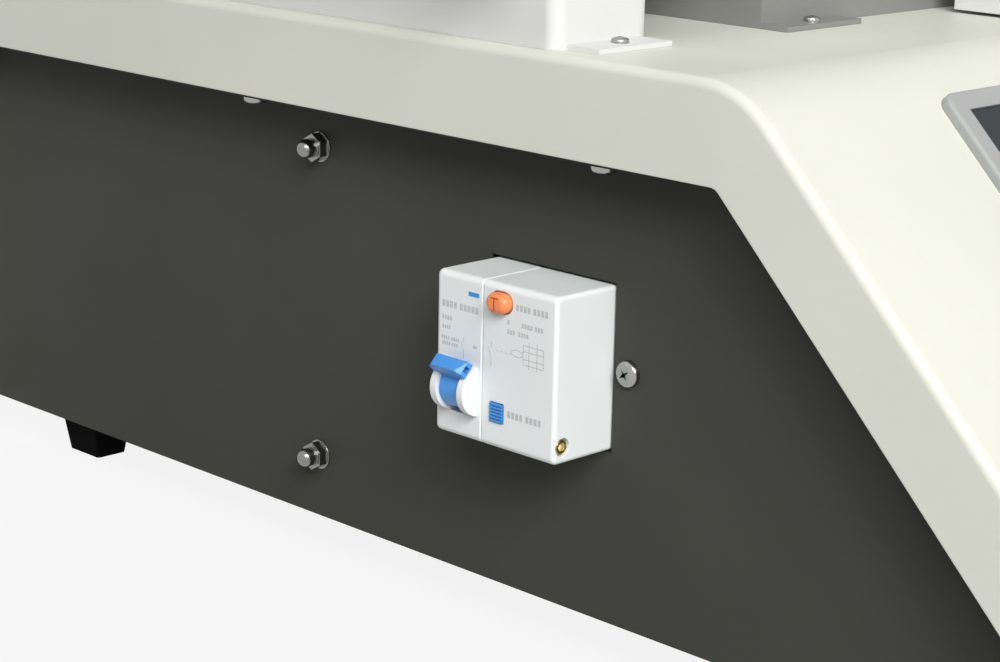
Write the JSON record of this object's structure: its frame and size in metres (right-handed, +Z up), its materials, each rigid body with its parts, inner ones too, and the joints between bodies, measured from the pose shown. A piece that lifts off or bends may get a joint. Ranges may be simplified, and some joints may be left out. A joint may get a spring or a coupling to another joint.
{
  "type": "reflow oven",
  "caption": "Bench-top conveyor reflow oven: sloped cream cabinet with dark recessed panels and a side breaker, a mesh belt through a heated tunnel, and a rear-hinged white hood.",
  "frame": {"origin": "on the standing surface, below the middle of the whole oven", "axes": "+X from the infeed end with the breaker to the outfeed end, +Y to the back, +Z up"},
  "size_m": [0.9457, 0.48, 0.399],
  "materials": {
    "cream_paint": "satin",
    "dark_paint": "satin",
    "white_paint": "satin",
    "grey_paint": "satin",
    "black_rubber": "matte",
    "bright_zinc": "bright",
    "breaker_white": "satin",
    "orange_plastic": "gloss",
    "blue_plastic": "gloss",
    "yellow_brass": "bright",
    "bezel_grey": "satin",
    "dark_glass": "gloss",
    "red_plastic": "gloss",
    "yellow_plastic": "satin",
    "bright_steel": "satin",
    "plain_aluminium": "satin",
    "fibre_board": "matte",
    "quartz_glass": "clear",
    "white_ceramic": "matte",
    "black_plastic": "satin",
    "green_board": "satin"
  },
  "bodies": {
    "cabinet": {"top_shell": "cream_paint", "bottom_plate": "dark_paint", "left_side_panel": "dark_paint", "right_side_panel": "dark_paint", "rear_panel": "dark_paint", "rubber_feet": "black_rubber", "cabinet_screws": "bright_zinc", "panel_cap_nuts": "bright_zinc", "breaker_pole": "breaker_white", "leakage_module": "breaker_white", "breaker_rivet": "yellow_brass", "breaker_rail": "bright_steel", "breaker_bracket": "bright_steel", "relay_heatsink": "plain_aluminium", "solid_state_relays": "breaker_white", "power_supply": "plain_aluminium", "control_board": "green_board", "cabinet_fan_frame": "black_plastic", "cable_gland": "black_plastic", "display_bezel": "bezel_grey", "display_glass": "dark_glass", "stop_collar": "yellow_plastic", "infeed_stand": "white_paint", "outfeed_stand": "white_paint", "front_rail": "plain_aluminium", "rear_rail": "plain_aluminium", "mesh_belt": "bright_steel", "roller_bearings": "bright_steel", "belt_support_rods": "bright_steel", "drive_gearbox": "plain_aluminium", "drive_motor": "bright_steel", "drive_cover": "white_paint", "lower_chamber": "grey_paint", "lower_insulation": "fibre_board", "lower_heater_tubes": "quartz_glass", "lower_heater_caps": "white_ceramic", "hinge_bases": "bright_zinc", "hinge_pins": "bright_steel"},
    "hood_lid": {"hood": "white_paint", "tunnel_mouths": "grey_paint", "upper_chamber": "grey_paint", "upper_insulation": "fibre_board", "upper_heater_tubes": "quartz_glass", "upper_heater_caps": "white_ceramic", "blower_motors": "bright_steel", "exhaust_collars": "bright_steel", "hood_handles": "black_plastic", "hinge_leaves": "bright_zinc", "cooling_fan_frame": "black_plastic", "cooling_fan_guard": "bright_zinc"},
    "breaker_toggle_body": {"breaker_toggle": "blue_plastic"},
    "test_button_body": {"test_button": "orange_plastic"},
    "reset_button_body": {"reset_button": "blue_plastic"},
    "stop_button_body": {"stop_button": "red_plastic"},
    "drive_roller_body": {"drive_roller": "bright_steel"},
    "idler_roller_body": {"idler_roller": "bright_steel"},
    "cabinet_fan_rotor_body": {"cabinet_fan_rotor": "black_plastic"},
    "cooling_fan_rotor_body": {"cooling_fan_rotor": "black_plastic"},
    "blower_impeller_left_body": {"blower_impeller_left": "bright_steel"},
    "blower_impeller_right_body": {"blower_impeller_right": "bright_steel"}
  },
  "joints": [
    {"name": "hood_hinge", "type": "hinge", "parent": "cabinet", "child": "hood_lid", "pos_m": [0, 0.2334, 0.1755], "axis": [-1, 0, 0], "range_deg": [0, 75]},
    {"name": "toggle_pivot", "type": "hinge", "parent": "cabinet", "child": "breaker_toggle_body", "pos_m": [-0.4554, -0.0303, 0.0773], "axis": [0, -1, 0], "range_deg": [0, 88]},
    {"name": "test_press", "type": "slide", "parent": "cabinet", "child": "test_button_body", "axis": [1, 0, 0], "range_m": [0, 0.002], "stiffness_N_per_m": 500, "springref_m": -0.001},
    {"name": "reset_pop", "type": "slide", "parent": "cabinet", "child": "reset_button_body", "axis": [-1, 0, 0], "range_m": [0, 0.003]},
    {"name": "stop_press", "type": "slide", "parent": "cabinet", "child": "stop_button_body", "axis": [0, 0.7071, -0.7071], "range_m": [0, 0.006], "stiffness_N_per_m": 500, "springref_m": -0.003},
    {"name": "drive_spin", "type": "hinge", "parent": "cabinet", "child": "drive_roller_body", "pos_m": [0.45, 0.075, 0.227], "axis": [0, 1, 0], "continuous": true},
    {"name": "idler_spin", "type": "hinge", "parent": "cabinet", "child": "idler_roller_body", "pos_m": [-0.45, 0.075, 0.227], "axis": [0, 1, 0], "continuous": true},
    {"name": "cabinet_fan_spin", "type": "hinge", "parent": "cabinet", "child": "cabinet_fan_rotor_body", "pos_m": [0.25, 0.21, 0.079], "axis": [0, 1, 0], "continuous": true},
    {"name": "cooling_fan_spin", "type": "hinge", "parent": "hood_lid", "child": "cooling_fan_rotor_body", "pos_m": [0.32875, 0.075, 0.3], "axis": [0, 0, 1], "continuous": true},
    {"name": "left_blower_spin", "type": "hinge", "parent": "hood_lid", "child": "blower_impeller_left_body", "pos_m": [-0.095, 0.075, 0.31], "axis": [0, 0, 1], "continuous": true},
    {"name": "right_blower_spin", "type": "hinge", "parent": "hood_lid", "child": "blower_impeller_right_body", "pos_m": [0.095, 0.075, 0.31], "axis": [0, 0, 1], "continuous": true}
  ],
  "couplings": [
    {"joint": "idler_spin", "follows": "drive_spin", "ratio": 1}
  ]
}
